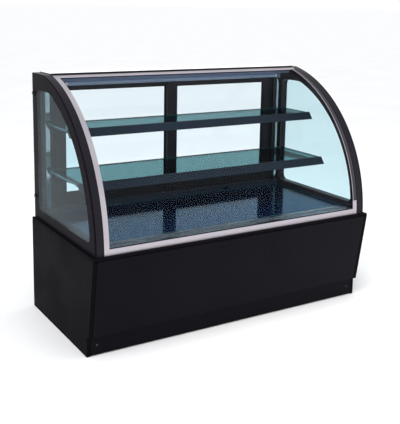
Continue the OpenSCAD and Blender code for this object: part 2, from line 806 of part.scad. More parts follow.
// Tapered arm under each end of a shelf whose top face is at z
module shelf_arms(z, reach) {
    root_d = surround_d + upright_d;
    for (side = [left, right])
        along_x(on_side(side, bracket_x, bracket_x + bracket_t))
            polygon([[from_rear(root_d), z - shelf_t], [from_rear(reach), z - shelf_t],
                     [from_rear(reach), z - shelf_t - 14], [from_rear(root_d), z - shelf_t - 40]]);
}

module shelf_brackets() color("gray") {
    shelf_arms(upper_shelf_z, upper_shelf_d - 20);
    shelf_arms(lower_shelf_z, lower_shelf_d - 20);
}

module shelf_glass(z, d) color([0.7, 0.9, 0.88, 0.4])
    block([-shelf_x, shelf_x], rear_range(shelf_rear_d, d), [z - shelf_t, z]);

// Sloping front rail that carries the shelf's front edge
module shelf_rail(z, d) {
    edge = d + 0.5;
    lip = z + 3;
    under = z - shelf_t;
    along_x([-shelf_x, shelf_x])
        polygon([[from_rear(edge), lip], [from_rear(edge + rail_t), lip],
                 [from_rear(edge + rail_t + rail_run), lip - rail_drop],
                 [from_rear(edge + rail_run), lip - rail_drop],
                 [from_rear(edge + 10), under - 3], [from_rear(d - 16), under - 3],
                 [from_rear(d - 16), under], [from_rear(edge), under]]);
}

module shelf_rails() color([0.22, 0.24, 0.28]) {
    shelf_rail(upper_shelf_z, upper_shelf_d);
    shelf_rail(lower_shelf_z, lower_shelf_d);
}

// Sheet whose edges are turned down to the base
module turned_sheet(d)
    difference() {
        block([-deck_x, deck_x], rear_range(d[0], d[1]), [base_h, deck_z]);
        block([-deck_x + deck_skin, deck_x - deck_skin],
              rear_range(d[0] + deck_skin, d[1] - deck_skin), [base_h - 1, deck_z - deck_skin]);
    }

module deck_panel() color("lightslategray") turned_sheet(deck_d);

module air_grille() color("silver") {
    slots = floor(2 * (deck_x - slot_margin) / slot_pitch);
    first = -(slots - 1) * slot_pitch / 2;
    difference() {
        turned_sheet(grille_d);
        for (i = [0 : slots - 1]) {
            x = first + i * slot_pitch;
            block([x - slot_w / 2, x + slot_w / 2], rear_range(slot_d, slot_d + slot_len),
                  [deck_z - deck_skin - 1, deck_z + 1]);
        }
    }
}

// ---- every node, one line each ----

base_frame();
floor_pan();
levelling_feet();
side_panel(left);  // side_panel_left
side_panel(right);  // side_panel_right
front_panel();
kick_plate();
base_cap();
service_panel();
panel_screws();
well_floor();
well_walls();
evaporator_coil();
evaporator_fan_plate();
evaporator_fan(left);  // evaporator_fan_left
evaporator_fan(right);  // evaporator_fan_right
fan_motors();
compressor();
condenser_coil();
condenser_shroud();
condenser_fan();
refrigerant_lines();
drip_tray();
control_plate();
controller_body();
button(-1);  // button_set
button(0);  // button_up
button(1);  // button_down
switch_housing();
power_rocker();
light_rocker();
cable_gland();
side_frame(left);  // side_frame_left
side_frame(right);  // side_frame_right
side_glass(left);  // side_glass_left
side_glass(right);  // side_glass_right
side_knobs();
glass_seals();
front_glass();
side_trim(left);  // trim_left
side_trim(right);  // trim_right
trim_bottom();
trim_top();
top_panel();
light_housing();
light_tube();
rear_header();
rear_sill();
rear_posts();
door_frame(left);  // door_left_frame
door_glass(left);  // door_left_glass
door_shoes(left);  // door_left_shoes
door_frame(right);  // door_right_frame
door_glass(right);  // door_right_glass
door_shoes(right);  // door_right_shoes
shelf_uprights();
shelf_brackets();
shelf_glass(lower_shelf_z, lower_shelf_d);  // shelf_lower_glass
shelf_glass(upper_shelf_z, upper_shelf_d);  // shelf_upper_glass
shelf_rails();
deck_panel();
air_grille();
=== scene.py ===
"""Looks of the refrigerated display showcase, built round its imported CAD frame.

Everything is in metres, in the row frame: +X along the counter, -Y towards the customer, +Z up.
"""
import json
from math import asin, atan2, cos, degrees, pi, radians, sin, sqrt

import bmesh
import bpy
from mathutils import Matrix, Vector


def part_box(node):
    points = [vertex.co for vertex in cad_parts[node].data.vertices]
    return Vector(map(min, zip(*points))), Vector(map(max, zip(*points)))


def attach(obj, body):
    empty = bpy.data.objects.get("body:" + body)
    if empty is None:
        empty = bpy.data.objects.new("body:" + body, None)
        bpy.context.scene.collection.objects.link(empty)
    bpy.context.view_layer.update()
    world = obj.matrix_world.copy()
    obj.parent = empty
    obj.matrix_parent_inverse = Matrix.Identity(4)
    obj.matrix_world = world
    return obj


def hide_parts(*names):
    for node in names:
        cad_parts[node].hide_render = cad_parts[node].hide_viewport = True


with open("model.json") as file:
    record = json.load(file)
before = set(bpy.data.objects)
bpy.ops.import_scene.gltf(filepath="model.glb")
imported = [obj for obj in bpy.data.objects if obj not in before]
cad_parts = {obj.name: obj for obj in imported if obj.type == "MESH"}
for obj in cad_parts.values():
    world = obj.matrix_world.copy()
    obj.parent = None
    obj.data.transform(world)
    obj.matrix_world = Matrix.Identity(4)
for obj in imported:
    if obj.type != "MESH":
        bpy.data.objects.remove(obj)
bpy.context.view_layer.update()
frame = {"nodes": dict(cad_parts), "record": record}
nodes = frame["nodes"]
scene = bpy.context.scene

MM = 0.001

# ---------------------------------------------------------------- camera

CAMERA_AT = Vector((-1.9242, -3.0634, 1.4706))
CAMERA_YAW = radians(-31.758)
CAMERA_PITCH = radians(-10.0455)
CAMERA_ROLL = radians(1.0138)
CAMERA_LENS = 64.11
SENSOR = 36
# the frame hangs lower than the lens axis, as in a cropped picture
CAMERA_SHIFT_Y = -0.1705
# half the width of the floor, wide enough to hide where it ends
FLOOR_SIZE = 900


def place_camera():
    ahead = Vector((-sin(CAMERA_YAW), cos(CAMERA_YAW), 0))
    forward = cos(CAMERA_PITCH) * ahead + Vector((0, 0, sin(CAMERA_PITCH)))
    level = Vector((cos(CAMERA_YAW), sin(CAMERA_YAW), 0))
    upright = level.cross(forward)
    right = cos(CAMERA_ROLL) * level + sin(CAMERA_ROLL) * upright
    up = cos(CAMERA_ROLL) * upright - sin(CAMERA_ROLL) * level
    data = bpy.data.cameras.new("camera")
    data.lens = CAMERA_LENS
    data.sensor_width = SENSOR
    data.shift_y = CAMERA_SHIFT_Y
    data.clip_end = 2 * FLOOR_SIZE
    camera = bpy.data.objects.new("camera", data)
    camera.matrix_world = Matrix.Translation(CAMERA_AT) @ Matrix((right, up, -forward)).transposed().to_4x4()
    scene.collection.objects.link(camera)
    scene.camera = camera


place_camera()

# ---------------------------------------------------------------- material nodes


def start_material(name):
    """A material with an empty node tree, and that tree."""
    material = bpy.data.materials.new(name)
    material.use_nodes = True
    material.node_tree.nodes.clear()
    return material, material.node_tree


def add_node(tree, kind, inputs=None, **settings):
    """A node whose inputs are set to values or linked to sockets."""
    made = tree.nodes.new("ShaderNode" + kind)
    for key, value in settings.items():
        setattr(made, key, value)
    for key, value in (inputs or {}).items():
        if isinstance(value, bpy.types.NodeSocket):
            tree.links.new(value, made.inputs[key])
        else:
            made.inputs[key].default_value = value
    return made


def object_coords(tree, stretch=(1, 1, 1)):
    coords = add_node(tree, "TexCoord").outputs["Object"]
    return add_node(tree, "Mapping", {"Vector": coords, "Scale": stretch}).outputs["Vector"]


def noise(tree, scale, detail=3, stretch=(1, 1, 1), distortion=0.0):
    return add_node(tree, "TexNoise", {
        "Vector": object_coords(tree, stretch), "Scale": scale, "Detail": detail, "Distortion": distortion,
    }).outputs["Fac"]


def span(tree, value, low, high, from_low=0.3, from_high=0.7):
    """A 0 to 1 pattern spread over the range low to high."""
    return add_node(tree, "MapRange", {
        "Value": value, "From Min": from_low, "From Max": from_high, "To Min": low, "To Max": high,
    }).outputs["Result"]


def blend_colours(tree, factor, first, second):
    mixed = add_node(tree, "Mix", data_type="RGBA")
    for socket, value in ((mixed.inputs[0], factor), (mixed.inputs[6], first), (mixed.inputs[7], second)):
        if isinstance(value, bpy.types.NodeSocket):
            tree.links.new(value, socket)
        elif isinstance(value, (int, float)):
            socket.default_value = value
        else:
            socket.default_value = (*value, 1)
    return mixed.outputs[2]


def shade(colour, factor):
    return tuple(min(1, channel * factor) for channel in colour)


def bump(tree, height, distance, under=None):
    inputs = {"Height": height, "Distance": distance, "Strength": 1.0}
    if under is not None:
        inputs["Normal"] = under
    return add_node(tree, "Bump", inputs).outputs["Normal"]


def output(tree, shader):
    add_node(tree, "OutputMaterial", {"Surface": shader})


def coated(name, colour, rough, spread=0.18, blotch=5, grain=900, depth=0.02, wave=0.0, coat=0.0,
           specular=0.5, metallic=0.0, dust=0.0):
    """Paint, moulded plastic, rubber or metal: broad tone and gloss variation over a fine grain.

    rough is the (smoothest, roughest) pair, depth the grain's height in millimetres, wave the height of a
    slow unevenness such as orange peel, and dust the share of pale specks.
    """
    material, tree = start_material(name)
    broad = noise(tree, blotch, 4)
    fine = noise(tree, grain, 2)
    tone = blend_colours(tree, span(tree, broad, 0, 1), shade(colour, 1 - spread), shade(colour, 1 + spread))
    tone = blend_colours(tree, span(tree, fine, 0, 0.35), tone, shade(colour, 1 + 2 * spread))
    if dust:
        specks = noise(tree, 260, 1)
        tone = blend_colours(tree, span(tree, specks, 0, dust, 0.72, 0.8), tone, (0.5, 0.5, 0.52))
    gloss = span(tree, broad, rough[0], rough[1])
    inputs = {
        "Base Color": tone, "Roughness": gloss, "Metallic": metallic, "Specular IOR Level": specular,
        "Coat Weight": coat, "Coat Roughness": 0.06,
    }
    if depth:
        inputs["Normal"] = bump(tree, fine, depth * MM)
    if wave:
        inputs["Normal"] = bump(tree, noise(tree, 90, 2), wave * MM, under=inputs.get("Normal"))
    shader = add_node(tree, "BsdfPrincipled", inputs)
    output(tree, shader.outputs[0])
    return material


def brushed(name, colour, rough, stretch, spread=0.12, depth=0.012, anisotropic=0.4):
    """Metal with long fine brush lines. stretch is small along the lines."""
    material, tree = start_material(name)
    lines = noise(tree, 700, 4, stretch)
    stains = noise(tree, 4, 5, distortion=0.6)
    tone = blend_colours(tree, span(tree, lines, 0, 1), shade(colour, 1 - spread), shade(colour, 1 + spread))
    tone = blend_colours(tree, span(tree, stains, 0, 0.3), tone, shade(colour, 1 - 2 * spread))
    both = add_node(tree, "Math", {0: lines, 1: stains}, operation="MULTIPLY").outputs[0]
    shader = add_node(tree, "BsdfPrincipled", {
        "Base Color": tone, "Roughness": span(tree, both, rough[0], rough[1], 0.15, 0.4), "Metallic": 1.0,
        "Anisotropic": anisotropic, "Normal": bump(tree, lines, depth * MM),
    })
    output(tree, shader.outputs[0])
    return material


def galvanised_sheet(name, colour):
    """Zinc with its flakes, each of its own tone and gloss."""
    material, tree = start_material(name)
    flakes = add_node(tree, "TexVoronoi", {"Vector": object_coords(tree), "Scale": 90, "Randomness": 1.0})
    tone = add_node(tree, "SeparateColor", {"Color": flakes.outputs["Color"]}).outputs[0]
    stains = noise(tree, 7, 5)
    base = blend_colours(tree, tone, shade(colour, 0.72), shade(colour, 1.1))
    base = blend_colours(tree, span(tree, stains, 0, 0.5), base, shade(colour, 0.6))
    shader = add_node(tree, "BsdfPrincipled", {
        "Base Color": base, "Metallic": 0.9, "Roughness": span(tree, tone, 0.3, 0.55, 0, 1),
        "Normal": bump(tree, flakes.outputs["Distance"], 0.03 * MM),
    })
    output(tree, shader.outputs[0])
    return material


def fin_pack(name, colour):
    """Thin aluminium fins side by side, with painted shade in the gaps between them."""
    material, tree = start_material(name)
    fins = add_node(tree, "TexWave", {
        "Vector": object_coords(tree), "Scale": 60, "Distortion": 0.4, "Detail": 1,
    }, wave_type="BANDS", bands_direction="X", wave_profile="SIN").outputs["Fac"]
    dented = noise(tree, 18, 4)
    # the gaps between the fins are painted near black: painted shade, not a colour of the metal
    base = blend_colours(tree, span(tree, fins, 0, 1, 0.2, 0.7), shade(colour, 0.12), colour)
    base = blend_colours(tree, span(tree, dented, 0, 0.35), base, shade(colour, 0.5))
    shader = add_node(tree, "BsdfPrincipled", {
        "Base Color": base, "Metallic": 0.85, "Roughness": span(tree, dented, 0.3, 0.55),
        "Normal": bump(tree, fins, 0.8 * MM),
    })
    output(tree, shader.outputs[0])
    return material


def pane_glass(name, tint, edge, axis, rough=0.012, mirror=1.0):
    """Flat or bent glass: the faces across the axis are clear, and the narrow edges are deep green.

    axis is 0, 1 or 2, or None for glass whose edges are hidden. tint is what one face lets through.
    """
    material, tree = start_material(name)
    facing = add_node(tree, "LayerWeight", {"Blend": 0.5}).outputs["Facing"]
    steep = add_node(tree, "Math", {0: facing, 1: 5.0}, operation="POWER").outputs[0]
    share = add_node(tree, "MapRange", {
        "Value": steep, "To Min": 0.04 * mirror, "To Max": min(0.9, 0.7 * mirror),
    }).outputs["Result"]
    smears = noise(tree, 3, 5, distortion=0.8)
    film = blend_colours(tree, span(tree, smears, 0, 0.25), tint, shade(tint, 0.97))
    clear = add_node(tree, "BsdfTransparent", {"Color": film}).outputs[0]
    ripple = bump(tree, noise(tree, 5, 1), 0.15 * MM)
    shine = add_node(tree, "BsdfGlossy", {
        "Color": (0.96, 0.98, 1.0, 1), "Roughness": span(tree, smears, rough * 0.5, rough * 4),
        "Normal": ripple,
    }).outputs[0]
    pane = add_node(tree, "MixShader", {0: share, 1: clear, 2: shine}).outputs[0]
    if axis is not None:
        normal = add_node(tree, "NewGeometry").outputs["True Normal"]
        across = add_node(tree, "SeparateXYZ", {"Vector": normal}).outputs[axis]
        level = add_node(tree, "Math", {0: across}, operation="ABSOLUTE").outputs[0]
        is_edge = add_node(tree, "Math", {0: level, 1: 0.6}, operation="LESS_THAN").outputs[0]
        cloud = noise(tree, 40, 3)
        rim = add_node(tree, "BsdfPrincipled", {
            "Base Color": blend_colours(tree, cloud, shade(edge, 0.75), shade(edge, 1.3)),
            "Roughness": span(tree, cloud, 0.12, 0.3),
            "Normal": bump(tree, cloud, 0.05 * MM),
            "Specular IOR Level": 0.6,
        }).outputs[0]
        pane = add_node(tree, "MixShader", {0: is_edge, 1: pane, 2: rim}).outputs[0]
    output(tree, pane)
    return material


def opal(name, colour, strength):
    """Milky diffuser that glows, a little less towards its dusty parts."""
    material, tree = start_material(name)
    cloud = noise(tree, 12, 4)
    glow = blend_colours(tree, span(tree, cloud, 0, 1), shade(colour, 0.9), colour)
    shader = add_node(tree, "BsdfPrincipled", {
        "Base Color": glow, "Roughness": span(tree, cloud, 0.25, 0.4), "Emission Color": glow,
        "Emission Strength": strength, "Normal": bump(tree, noise(tree, 500, 2), 0.01 * MM),
    })
    output(tree, shader.outputs[0])
    return material


ALONG_X = (0.02, 1, 1)
ALONG_Z = (1, 1, 0.02)
CLEAR_TINT = (0.975, 0.99, 0.993)
DOOR_TINT = (0.93, 0.972, 0.99)
SIDE_TINT = (0.80, 0.915, 0.94)
SHELF_TINT = (0.29, 0.48, 0.5)
EDGE_GREEN = (0.05, 0.26, 0.24)
EDGE_TEAL = (0.03, 0.12, 0.12)

MATERIALS = {
    "cabinet_black": coated("charcoal_powder_coat", (0.0045, 0.0038, 0.0052), (0.42, 0.6), grain=1400,
                            depth=0.05, specular=0.01, dust=0.008),
    "cabinet_gloss": coated("black_laminate", (0.0034, 0.0028, 0.0052), (0.24, 0.38), grain=1100, depth=0.012,
                            wave=0.06, specular=0.05, dust=0.015),
    "frame_steel": coated("primed_steel", (0.09, 0.09, 0.1), (0.45, 0.65), grain=700, depth=0.06),
    "galvanised": galvanised_sheet("galvanised_sheet", (0.55, 0.56, 0.57)),
    "stainless": brushed("brushed_stainless", (0.5, 0.52, 0.55), (0.2, 0.38), ALONG_X),
    "deck_steel": coated("dark_blue_enamel", (0.012, 0.022, 0.05), (0.12, 0.24), spread=0.14, blotch=4,
                         grain=60, depth=0, specular=0.3),
    "anodised_dark": coated("black_anodised", (0.0085, 0.0072, 0.0115), (0.32, 0.48), grain=1500, depth=0.003,
                            specular=0.16),
    "anodised_silver": coated("silver_anodised", (0.5, 0.465, 0.51), (0.3, 0.45), spread=0.06, grain=1800,
                              depth=0.008, metallic=0.75),
    "top_white": coated("white_enamel", (0.8, 0.79, 0.82), (0.22, 0.4), spread=0.04, depth=0.02, wave=0.05),
    "chrome": brushed("chrome_plate", (0.82, 0.82, 0.84), (0.04, 0.12), (1, 1, 1), spread=0.06, depth=0.002,
                      anisotropic=0.0),
    "rubber_black": coated("seal_rubber", (0.0055, 0.005, 0.0065), (0.6, 0.8), grain=1600, depth=0.03,
                           specular=0.05),
    "glass_clear": pane_glass("door_pane_glass", DOOR_TINT, EDGE_GREEN, None, mirror=0.4),
    "glass_shelf": pane_glass("shelf_glass", SHELF_TINT, EDGE_TEAL, 2, rough=0.02, mirror=0.3),
    "diffuser": opal("opal_diffuser", (0.2, 0.27, 0.4), 0.05),
    "copper": brushed("drawn_copper", (0.62, 0.3, 0.17), (0.25, 0.45), (1, 1, 1), spread=0.25, depth=0.02),
    "fins": fin_pack("fin_stock", (0.6, 0.62, 0.64)),
    "plastic_black": coated("black_plastic", (0.02, 0.02, 0.023), (0.38, 0.55), grain=1300, depth=0.06),
    "plastic_red": coated("red_plastic", (0.5, 0.025, 0.018), (0.25, 0.4), grain=1300, depth=0.03),
    "plastic_grey": coated("grey_plastic", (0.42, 0.43, 0.45), (0.3, 0.48), grain=1300, depth=0.05),
    "nylon": coated("white_nylon", (0.72, 0.71, 0.67), (0.4, 0.6), spread=0.08, grain=900, depth=0.05),
    "compressor_black": coated("black_enamel", (0.012, 0.012, 0.013), (0.2, 0.4), depth=0.03, wave=0.1),
}
SIDE_GLASS = pane_glass("side_glass", SIDE_TINT, EDGE_GREEN, None, mirror=0.4)
FRONT_GLASS = pane_glass("front_glass", CLEAR_TINT, EDGE_GREEN, None, mirror=0.12)
FRIT = coated("ceramic_print", (0.006, 0.005, 0.0075), (0.24, 0.36), spread=0.1, grain=1500, depth=0.003,
              specular=0.01)
SLATE = coated("slate_enamel", (0.0075, 0.0125, 0.02), (0.3, 0.45), grain=1400, depth=0.003, specular=0.1)
NAVY = coated("navy_enamel", (0.012, 0.02, 0.038), (0.25, 0.4), grain=1400, depth=0.003, specular=0.3)
HOUSING = coated("blue_grey_enamel", (0.1, 0.14, 0.24), (0.3, 0.45), grain=1300, depth=0.003, specular=0.3)
POLISHED = brushed("polished_strip", (0.3, 0.37, 0.39), (0.05, 0.11), ALONG_Z, spread=0.08, depth=0.0006)
DARK_TRIM = coated("dark_trim", (0.03, 0.026, 0.032), (0.28, 0.42), spread=0.08, grain=1800, depth=0.004,
                   specular=0.3)
DECK_GLASS = pane_glass("deck_glass", (0.5, 0.7, 0.82), EDGE_TEAL, 2, rough=0.02, mirror=0.35)
DARK_CHROME = brushed("black_chrome", (0.07, 0.07, 0.08), (0.1, 0.22), (1, 1, 1), spread=0.1, depth=0.002,
                      anisotropic=0.0)

# ---------------------------------------------------------------- mesh helpers


SMOOTH_ANGLE = radians(32)


def smooth_group():
    """Geometry nodes that shade a mesh smooth, apart from edges sharper than SMOOTH_ANGLE."""
    group = bpy.data.node_groups.new("smooth_by_angle", "GeometryNodeTree")
    group.interface.new_socket("Geometry", in_out="INPUT", socket_type="NodeSocketGeometry")
    group.interface.new_socket("Geometry", in_out="OUTPUT", socket_type="NodeSocketGeometry")
    start = group.nodes.new("NodeGroupInput")
    end = group.nodes.new("NodeGroupOutput")
    angle = group.nodes.new("GeometryNodeInputMeshEdgeAngle")
    blunt = group.nodes.new("FunctionNodeCompare")
    blunt.data_type = "FLOAT"
    blunt.operation = "LESS_THAN"
    blunt.inputs[1].default_value = SMOOTH_ANGLE
    faces = group.nodes.new("GeometryNodeSetShadeSmooth")
    faces.domain = "FACE"
    edges = group.nodes.new("GeometryNodeSetShadeSmooth")
    edges.domain = "EDGE"
    group.links.new(start.outputs[0], faces.inputs[0])
    group.links.new(faces.outputs[0], edges.inputs[0])
    group.links.new(angle.outputs[0], blunt.inputs[0])
    group.links.new(blunt.outputs[0], edges.inputs["Shade Smooth"])
    group.links.new(edges.outputs[0], end.inputs[0])
    return group


SMOOTH = smooth_group()
BEVEL_ANGLE = radians(34)
BEVEL_SEGMENTS = 3


def soften(piece, bevel=0.0):
    """Joins split corners, rounds the edges by bevel millimetres and shades the rest smooth."""
    weld = piece.modifiers.new("weld", "WELD")
    weld.merge_threshold = 0.01 * MM
    if bevel:
        rounding = piece.modifiers.new("bevel", "BEVEL")
        rounding.width = bevel * MM
        rounding.segments = BEVEL_SEGMENTS
        rounding.limit_method = "ANGLE"
        rounding.angle_limit = BEVEL_ANGLE
    shading = piece.modifiers.new("smooth", "NODES")
    shading.node_group = SMOOTH
    if bevel:
        flats = piece.modifiers.new("flats", "WEIGHTED_NORMAL")
        flats.keep_sharp = True


def dress(piece, material):
    if not piece.data.materials:
        piece.data.materials.append(material)
    for slot in piece.material_slots:
        slot.material = material


def add_piece(name, bm, slot, body="cabinet", bevel=0.0, material=None, replaces=()):
    """Turns a bmesh into a piece that rides on a body and takes its finish from a material slot."""
    bmesh.ops.recalc_face_normals(bm, faces=bm.faces)
    mesh = bpy.data.meshes.new(name)
    bm.to_mesh(mesh)
    bm.free()
    piece = bpy.data.objects.new(name, mesh)
    scene.collection.objects.link(piece)
    dress(piece, material or MATERIALS[slot])
    soften(piece, bevel)
    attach(piece, body)
    if replaces:
        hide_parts(*replaces)
    return piece


def in_axes(along, depth, a, b):
    """Point whose coordinate on the axis along is depth, and whose other two are a and b in order."""
    point = [a, b]
    point.insert(along, depth)
    return Vector(point)


def add_prism(bm, loops, along, start, end):
    """Adds a solid with the outline loops[0] and the holes loops[1:], from start to end on an axis."""
    edges = []
    for loop in loops:
        corners = [bm.verts.new(in_axes(along, start, a, b)) for a, b in loop]
        edges += [bm.edges.new((corners[i - 1], corners[i])) for i in range(len(corners))]
    cap = bmesh.ops.triangle_fill(bm, edges=edges, use_beauty=True)
    faces = [item for item in cap["geom"] if isinstance(item, bmesh.types.BMFace)]
    grown = bmesh.ops.extrude_face_region(bm, geom=faces)
    moved = [item for item in grown["geom"] if isinstance(item, bmesh.types.BMVert)]
    bmesh.ops.translate(bm, verts=moved, vec=in_axes(along, end - start, 0, 0))


def rectangle(a, b):
    return [(a[0], b[0]), (a[1], b[0]), (a[1], b[1]), (a[0], b[1])]


def add_box(bm, x, y, z):
    add_prism(bm, [rectangle(y, z)], 0, x[0], x[1])


def add_lathe(bm, profile, centre, axis, steps):
    """Adds a turned solid. The profile's points are (radius, distance along the axis from the centre)."""
    axis = Vector(axis).normalized()
    side = axis.orthogonal().normalized()
    chain = [bm.verts.new(centre + side * radius + axis * along) for radius, along in profile]
    edges = [bm.edges.new((chain[i], chain[i + 1])) for i in range(len(chain) - 1)]
    bmesh.ops.spin(bm, geom=chain + edges, cent=centre, axis=axis, angle=2 * pi, steps=steps,
                   use_duplicate=False)
    bmesh.ops.remove_doubles(bm, verts=bm.verts, dist=0.01 * MM)


def arc(centre, radius, start, end, steps):
    """Points of an arc, with its angles in degrees."""
    turn = (end - start) / steps
    return [(centre[0] + radius * cos(radians(start + i * turn)),
             centre[1] + radius * sin(radians(start + i * turn))) for i in range(steps + 1)]


def round_rectangle(a, b, radius, steps=5):
    """Outline of a rectangle over the ranges a and b with round corners."""
    corners = ((a[1] - radius, b[0] + radius, -90), (a[1] - radius, b[1] - radius, 0),
               (a[0] + radius, b[1] - radius, 90), (a[0] + radius, b[0] + radius, 180))
    return [point for u, v, first in corners for point in arc((u, v), radius, first, first + 90, steps)]


def mirrored(pair, side):
    """A range on the right, or its mirror image on the left."""
    return pair if side > 0 else (-pair[1], -pair[0])


SIDES = (("left", -1), ("right", 1))

# ---------------------------------------------------------------- places taken from the frame

glass_low, glass_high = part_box("side_glass_left")
pane_low, pane_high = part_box("front_glass")
panel_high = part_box("service_panel")[1]
deck_low, deck_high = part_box("deck_panel")
grille_low, grille_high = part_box("air_grille")
tube_low, tube_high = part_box("light_tube")

REAR = glass_high.y
BASE_TOP = glass_low.z
CANOPY_TOP = glass_high.z
CANOPY_HALF = -glass_low.x
SIDE_GLASS_T = glass_high.x - glass_low.x
FRAME_HALF = CANOPY_HALF - SIDE_GLASS_T

# the curve of the canopy: its axis, and the radii of the side glass, its clear field and the front glass
ARC = (0.372, 0.444)
CURVE_STEPS = 72
OUTER_R = 0.720
FIELD_R = 0.670
FRONT_R = 0.714
FRONT_T = 0.008
FIELD_REAR = REAR - 0.060
FIELD_LOW = 0.500
FIELD_TOP = 1.076
FIELD_CORNER = 0.030
FIELD_FOOT = 0.024
FIELD_SHOULDER = 0.110
KNOB_Y = REAR - 0.020
KNOBS_Z = (0.560, 1.055)
KNOB_HOLE = 0.0052


def angle_of(point):
    return degrees(atan2(point[1] - ARC[1], point[0] - ARC[0]))


def canopy_outline(radius):
    """Side view of the canopy: a quarter round with a flat top."""
    top = 180 - degrees(asin((CANOPY_TOP - ARC[1]) / radius))
    foot = 180 - degrees(asin((BASE_TOP - ARC[1]) / radius))
    return [(REAR, BASE_TOP), (REAR, CANOPY_TOP)] + arc(ARC, radius, top, foot, CURVE_STEPS)


def field_outline(margin=0.0):
    """Outline of the clear field of the side glass, shrunk by a margin."""
    radius = FIELD_R - margin

    def touching(rounding, height):
        return ARC[0] - sqrt((radius - rounding) ** 2 - (height - ARC[1]) ** 2), height

    low, top, rear = FIELD_LOW + margin, FIELD_TOP - margin, FIELD_REAR - margin
    rear_low = (rear - FIELD_CORNER, low + FIELD_CORNER)
    rear_top = (rear - FIELD_CORNER, top - FIELD_CORNER)
    shoulder = touching(FIELD_SHOULDER, top - FIELD_SHOULDER)
    foot = touching(FIELD_FOOT, low + FIELD_FOOT)
    points = arc(rear_low, FIELD_CORNER, -90, 0, 8) + arc(rear_top, FIELD_CORNER, 0, 90, 8)
    points += arc(shoulder, FIELD_SHOULDER, 90, angle_of(shoulder), 10)
    points += arc(ARC, radius, angle_of(shoulder), angle_of(foot), 60)[1:-1]
    return points + arc(foot, FIELD_FOOT, angle_of(foot), 270, 8)


def curve_band(radius, thickness, start, end):
    """Outline of a band of the curved front, between two angles in degrees."""
    outside = arc(ARC, radius, start, end, CURVE_STEPS)
    return outside + arc(ARC, radius - thickness, end, start, CURVE_STEPS)


# ---------------------------------------------------------------- CAD pieces and their finish

# widths of the rounded edges, in millimetres, of the nodes whose edges catch the light
EDGE_ROUNDING = {
    "side_panel_left": 2.0, "side_panel_right": 2.0, "front_panel": 1.5, "kick_plate": 1.0, "base_cap": 3.0,
    "service_panel": 0.5, "control_plate": 0.6, "controller_body": 0.8, "switch_housing": 0.6,
    "power_rocker": 0.5, "light_rocker": 0.5, "button_set": 0.5, "button_up": 0.5, "button_down": 0.5,
    "cable_gland": 0.7, "side_frame_left": 1.0, "side_frame_right": 1.0, "trim_left": 0.8, "trim_right": 0.8,
    "trim_bottom": 0.8, "trim_top": 0.8, "top_panel": 1.5, "light_housing": 1.2, "rear_header": 1.2,
    "rear_sill": 1.2, "rear_posts": 1.2, "door_left_frame": 1.2, "door_right_frame": 1.2,
    "shelf_brackets": 0.8, "shelf_rails": 0.8, "base_frame": 1.5, "levelling_feet": 0.8, "drip_tray": 0.5,
    "compressor": 2.0, "well_walls": 1.0,
}


# nodes with a finish of their own within their slot
OWN_FINISH = {
    "kick_plate": MATERIALS["cabinet_gloss"], "shelf_rails": SLATE, "shelf_brackets": SLATE,
    "rear_header": HOUSING, "rear_sill": NAVY, "light_housing": HOUSING, "side_knobs": DARK_CHROME,
    "trim_right": DARK_TRIM,
}


def dress_frame():
    """Gives every CAD node its material and its rounded edges."""
    for part in frame["record"]["subparts"]:
        node = nodes[part["node"]]
        dress(node, OWN_FINISH.get(part["node"], MATERIALS[part["material_slot"]]))
        soften(node, EDGE_ROUNDING.get(part["node"], 0.0))


dress_frame()

# ---------------------------------------------------------------- canopy glass

KNOB_STEPS = 20


def build_side_glass():
    for name, side in SIDES:
        start, end = sorted((side * CANOPY_HALF, side * FRAME_HALF))
        holes = [arc((KNOB_Y, z), KNOB_HOLE, 0, 360 - 360 / KNOB_STEPS, KNOB_STEPS - 1) for z in KNOBS_Z]
        rim = bmesh.new()
        add_prism(rim, [canopy_outline(OUTER_R), field_outline(), *holes], 0, start, end)
        add_piece("side_print_" + name, rim, "glass_clear", bevel=0.7, material=FRIT,
                  replaces=("side_glass_" + name,))
        pane = bmesh.new()
        add_prism(pane, [field_outline(0.2 * MM)], 0, start, end)
        add_piece("side_pane_" + name, pane, "glass_clear", material=SIDE_GLASS,
                  replaces=("side_glass_" + name,))


def build_front_glass():
    foot = 180 - degrees(asin((pane_low.z - ARC[1]) / FRONT_R))
    top = degrees(atan2(sqrt(FRONT_R ** 2 - (pane_high.y - ARC[0]) ** 2), pane_high.y - ARC[0]))
    bm = bmesh.new()
    add_prism(bm, [curve_band(FRONT_R, FRONT_T, foot, top)], 0, pane_low.x, pane_high.x)
    add_piece("front_pane", bm, "glass_clear", material=FRONT_GLASS, replaces=("front_glass",))


BEAD_W = 2.5 * MM


def build_trim_lines():
    """Bright bead along the inner edge of the right strip, and a black strip in front of the top panel that
    stands in for the shadow of the raised panel: a painted shadow.
    """
    low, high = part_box("trim_right")
    bead = bmesh.new()
    foot = 180 - degrees(asin((low.z - ARC[1]) / (OUTER_R - 1 * MM)))
    top = 180 - degrees(asin((high.z - ARC[1]) / (OUTER_R - 1 * MM)))
    add_prism(bead, [curve_band(OUTER_R - 0.3 * MM, 1.5 * MM, top, foot)], 0, low.x, low.x + BEAD_W)
    add_piece("trim_bead_right", bead, "anodised_silver", bevel=0.2)
    panel_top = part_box("top_panel")[1].z
    trim_a, trim_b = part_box("trim_top")
    front = trim_b.y - 0.5 * MM
    # black strip along the front of the top panel: a painted shadow line for the shade the raised top panel
    # casts on the top strip
    shadow_lip = bmesh.new()
    shadow_lip_profile = [(front, panel_top - 0.8 * MM), (front - 2 * MM, panel_top - 1.2 * MM),
                   (front - 12 * MM, trim_b.z + 1.0 * MM), (front - 14 * MM, trim_b.z - 1.8 * MM),
                   (front, trim_b.z - 1.8 * MM)]
    add_prism(shadow_lip, [shadow_lip_profile], 0, trim_a.x, trim_b.x)
    add_piece("top_shadow_lip", shadow_lip, "rubber_black", bevel=0.3)


build_side_glass()
build_front_glass()
build_trim_lines()

# ---------------------------------------------------------------- shelves and deck


